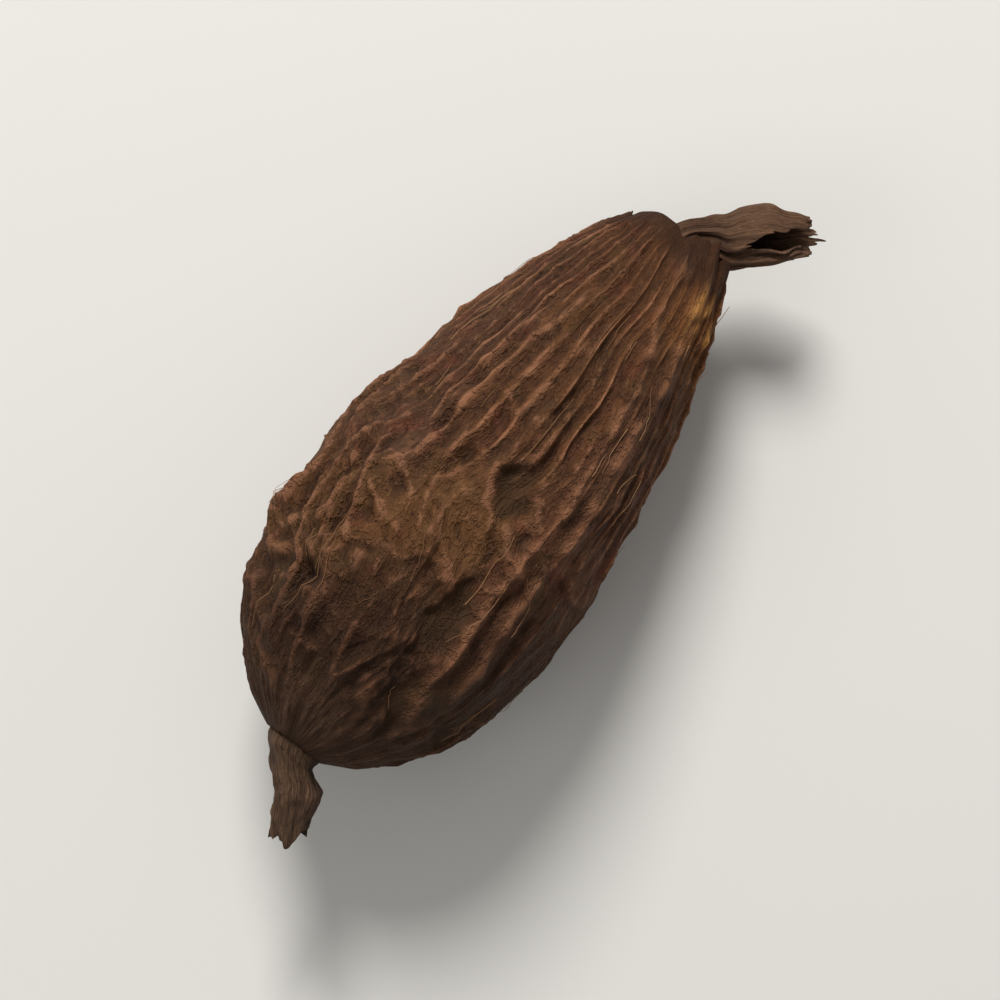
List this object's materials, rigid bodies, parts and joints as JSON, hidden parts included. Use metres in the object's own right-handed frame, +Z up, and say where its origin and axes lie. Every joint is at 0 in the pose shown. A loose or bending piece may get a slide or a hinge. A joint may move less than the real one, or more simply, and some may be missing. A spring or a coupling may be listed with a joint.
{
  "type": "black cardamom pod",
  "caption": "Dried black cardamom pod: a ribbed, crumpled egg-shaped husk with a broken stalk stub at its broad end and a torn calyx at its narrow end; a whole spice for cooking.",
  "frame": {"origin": "the middle of the flattened spot that the pod lies on, under its weight", "axes": "+X from the stalk end to the calyx end, +Z up from the surface that the pod lies on, +Y across it"},
  "size_m": [0.0322, 0.0123, 0.0112],
  "materials": {
    "husk": "dry, fibrous, dull dark brown with paler ribs",
    "stalk": "dry, fibrous, pale grey-brown",
    "calyx": "dry, papery, straw brown"
  },
  "bodies": {
    "root": {"husk": "husk", "stalk": "stalk", "calyx": "calyx"}
  },
  "joints": []
}
